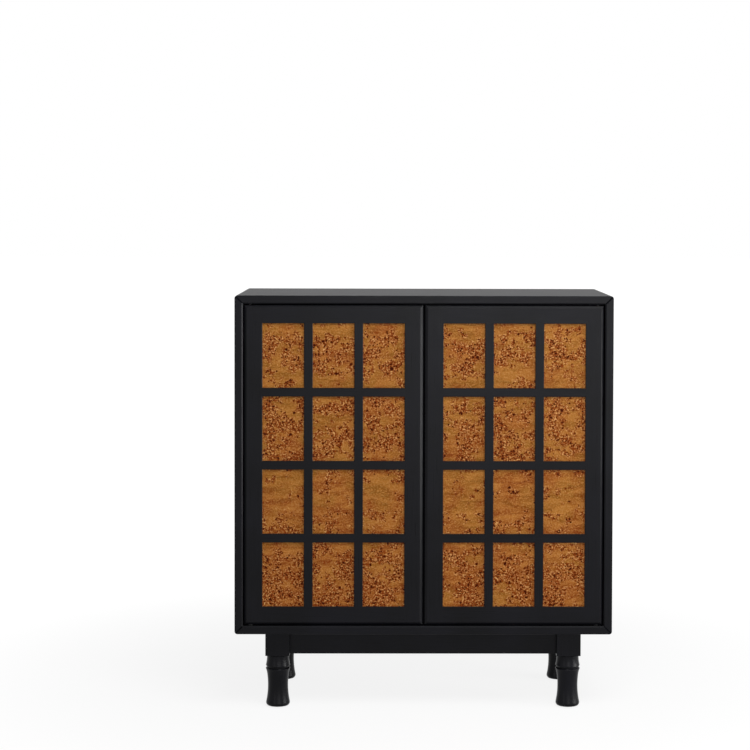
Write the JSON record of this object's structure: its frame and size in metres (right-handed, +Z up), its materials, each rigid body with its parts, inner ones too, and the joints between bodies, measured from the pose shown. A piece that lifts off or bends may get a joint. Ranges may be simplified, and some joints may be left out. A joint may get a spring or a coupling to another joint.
{
  "type": "side cabinet",
  "caption": "Black side cabinet with inset grille doors over amber burl panels, shelves inside, on turned bamboo-style legs with set-in aprons.",
  "frame": {"origin": "on the floor under the middle of the case", "axes": "+Z up, +X to the viewer's right, front of the doors towards -Y"},
  "size_m": [0.9, 0.4, 0.995],
  "materials": {
    "black_paint": "satin black paint over wood",
    "burl_veneer": "lacquered amber burl veneer",
    "back_board": "matt black plywood",
    "bare_wood": "bare planed beech",
    "pivot_steel": "blackened and oiled",
    "zinc_steel": "zinc plated",
    "nickel_steel": "nickel plated",
    "bush_brass": "turned",
    "black_plastic": "moulded",
    "nylon": "moulded black nylon"
  },
  "bodies": {
    "case": {"top_board": "black_paint", "bottom_board": "black_paint", "side_board_left": "black_paint", "side_board_right": "black_paint", "centre_divider": "black_paint", "shelf_left_lower": "black_paint", "shelf_left_upper": "black_paint", "shelf_right_lower": "black_paint", "shelf_right_upper": "black_paint", "apron_front": "black_paint", "apron_back": "black_paint", "apron_left": "black_paint", "apron_right": "black_paint", "leg_front_left": "black_paint", "leg_front_right": "black_paint", "leg_back_left": "black_paint", "leg_back_right": "black_paint", "back_panel": "back_board", "mitre_splines": "bare_wood", "cleat_front": "bare_wood", "cleat_back": "bare_wood", "shelf_pins": "nickel_steel", "back_screws": "zinc_steel", "cleat_screws": "zinc_steel", "foot_glides": "nylon", "pivot_plates": "pivot_steel", "pivot_pins": "pivot_steel", "pivot_washers": "nylon", "pivot_screws": "pivot_steel", "latch_screws": "zinc_steel", "latch_housing_left": "black_plastic", "latch_spring_left": "zinc_steel", "latch_housing_right": "black_plastic", "latch_spring_right": "zinc_steel"},
    "door_left": {"door_left_hinge_stile": "black_paint", "door_left_meeting_stile": "black_paint", "door_left_top_rail": "black_paint", "door_left_bottom_rail": "black_paint", "door_left_uprights": "black_paint", "door_left_cross_bars": "black_paint", "door_left_burl_panel": "burl_veneer", "door_left_pivot_bushes": "bush_brass", "door_left_strike_plate": "nickel_steel", "door_left_strike_screw": "zinc_steel"},
    "door_right": {"door_right_hinge_stile": "black_paint", "door_right_meeting_stile": "black_paint", "door_right_top_rail": "black_paint", "door_right_bottom_rail": "black_paint", "door_right_uprights": "black_paint", "door_right_cross_bars": "black_paint", "door_right_burl_panel": "burl_veneer", "door_right_pivot_bushes": "bush_brass", "door_right_strike_plate": "nickel_steel", "door_right_strike_screw": "zinc_steel"},
    "latch_plunger_left": {"latch_plunger_left": "black_plastic", "latch_magnet_left": "nickel_steel"},
    "latch_plunger_right": {"latch_plunger_right": "black_plastic", "latch_magnet_right": "nickel_steel"}
  },
  "joints": [
    {"name": "door_left_hinge", "type": "hinge", "parent": "case", "child": "door_left", "pos_m": [-0.413, -0.187, 0.591], "axis": [0, 0, -1], "range_deg": [0, 110]},
    {"name": "door_right_hinge", "type": "hinge", "parent": "case", "child": "door_right", "pos_m": [0.413, -0.187, 0.591], "axis": [0, 0, 1], "range_deg": [0, 110]},
    {"name": "latch_left_press", "type": "slide", "parent": "case", "child": "latch_plunger_left", "axis": [0, 1, 0], "range_m": [0, 0.003], "stiffness_N_per_m": 500, "springref_m": -0.006, "deforming": ["latch_spring_left"]},
    {"name": "latch_right_press", "type": "slide", "parent": "case", "child": "latch_plunger_right", "axis": [0, 1, 0], "range_m": [0, 0.003], "stiffness_N_per_m": 500, "springref_m": -0.006, "deforming": ["latch_spring_right"]}
  ]
}
